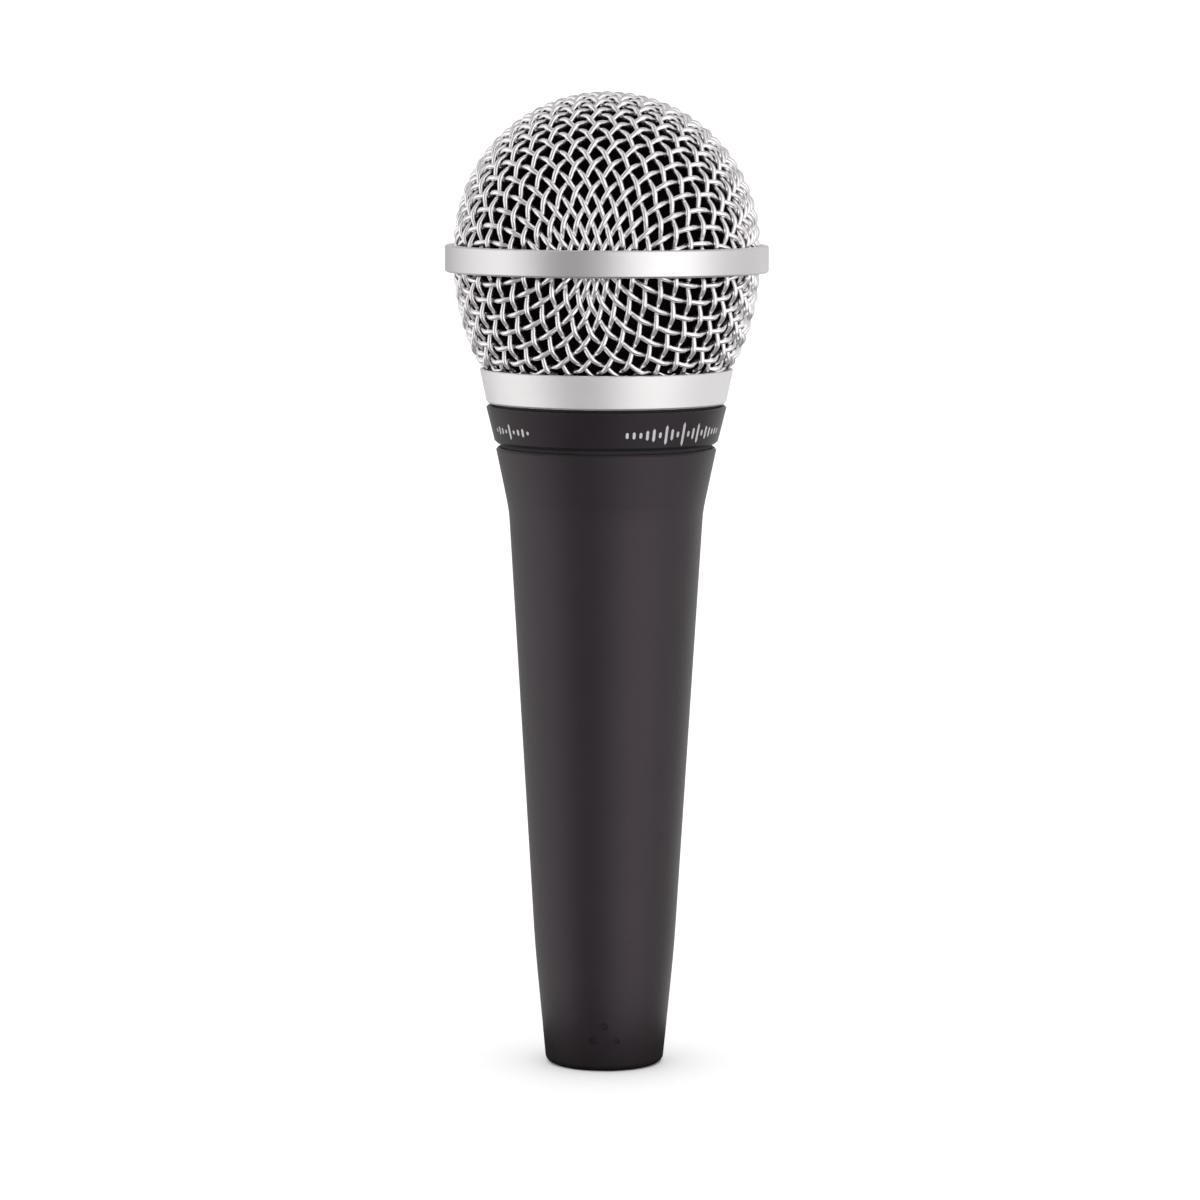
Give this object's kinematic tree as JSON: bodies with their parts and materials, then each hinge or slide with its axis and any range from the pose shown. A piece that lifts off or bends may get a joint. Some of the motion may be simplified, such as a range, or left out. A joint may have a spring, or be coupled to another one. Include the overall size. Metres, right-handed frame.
{
  "type": "dynamic microphone",
  "caption": "Hand-held vocal microphone: woven-wire ball grille with a band, collar, tapered handle and three-pin end socket.",
  "frame": {"origin": "centre of the connector end's flat face", "axes": "+Z along the microphone's axis towards the top of the grille, +Y out of the switch side"},
  "size_m": [0.054, 0.054, 0.1638],
  "materials": {
    "handle_paint": "satin dark grey coat with a fine texture",
    "collar_black": "semi-gloss black coat",
    "rubber_black": "matt rubber",
    "wire_steel": "bright plated woven wire",
    "silver_band": "satin silver",
    "silver_ring": "satin silver",
    "foam_black": "open-cell foam",
    "insert_plastic": "moulded thermoplastic",
    "contact_metal": "silver-plated contact",
    "plated_steel": "plated",
    "magnet_metal": "sintered and plated",
    "copper_coil": "enamelled copper wire",
    "film": "thin polyester film",
    "cloth_black": "fine acoustic cloth",
    "felt_grey": "pressed felt",
    "moulding_dark": "glass-filled moulding",
    "board_green": "circuit board laminate",
    "wire_red": "wire insulation",
    "wire_black": "wire insulation",
    "switch_plastic": "ridged moulding"
  },
  "bodies": {
    "handle": {"handle_shell": "handle_paint", "handle_collar": "collar_black", "shoulder_seal": "rubber_black", "connector_insert": "insert_plastic", "contact_pin_1": "contact_metal", "contact_pin_2": "contact_metal", "contact_pin_3": "contact_metal", "ground_clip": "plated_steel", "insert_lock_screw": "plated_steel", "switch_plate": "collar_black", "switch_plate_screws": "plated_steel", "switch_body": "moulding_dark", "shock_mount": "rubber_black", "cartridge_can": "plated_steel", "cartridge_cap": "moulding_dark", "front_screen": "cloth_black", "diaphragm": "film", "voice_coil": "copper_coil", "diaphragm_support": "moulding_dark", "diaphragm_clamp_ring": "plated_steel", "pole_plate": "plated_steel", "centre_pole": "plated_steel", "magnet": "magnet_metal", "magnet_yoke": "plated_steel", "yoke_carrier": "moulding_dark", "rear_port_screen": "cloth_black", "damping_felt": "felt_grey", "rear_chamber": "moulding_dark", "terminal_board": "board_green", "terminal_posts": "contact_metal", "lead_hot": "wire_red", "lead_cold": "wire_black"},
    "grille_carrier": {"grille_washer": "rubber_black"},
    "grille_head": {"grille_base_ring": "silver_ring", "grille_dome_mesh": "wire_steel", "grille_bowl_mesh": "wire_steel", "grille_band": "silver_band", "dome_foam": "foam_black", "bowl_foam": "foam_black"},
    "switch_slider": {"switch_button": "switch_plastic", "switch_lever": "switch_plastic"}
  },
  "joints": [
    {"name": "grille_rise", "type": "slide", "parent": "handle", "child": "grille_carrier", "axis": [0, 0, 1], "range_m": [0, 0.00401]},
    {"name": "grille_unscrew", "type": "hinge", "parent": "grille_carrier", "child": "grille_head", "pos_m": [0, 0, 0.114], "axis": [0, 0, 1], "range_deg": [0, 1440]},
    {"name": "switch_slide", "type": "slide", "parent": "handle", "child": "switch_slider", "axis": [0, 0.0606, 0.9982], "range_m": [-0.003, 0]}
  ],
  "couplings": [
    {"joint": "grille_rise", "follows": "grille_unscrew", "m_per_rad": 0.00015915}
  ]
}
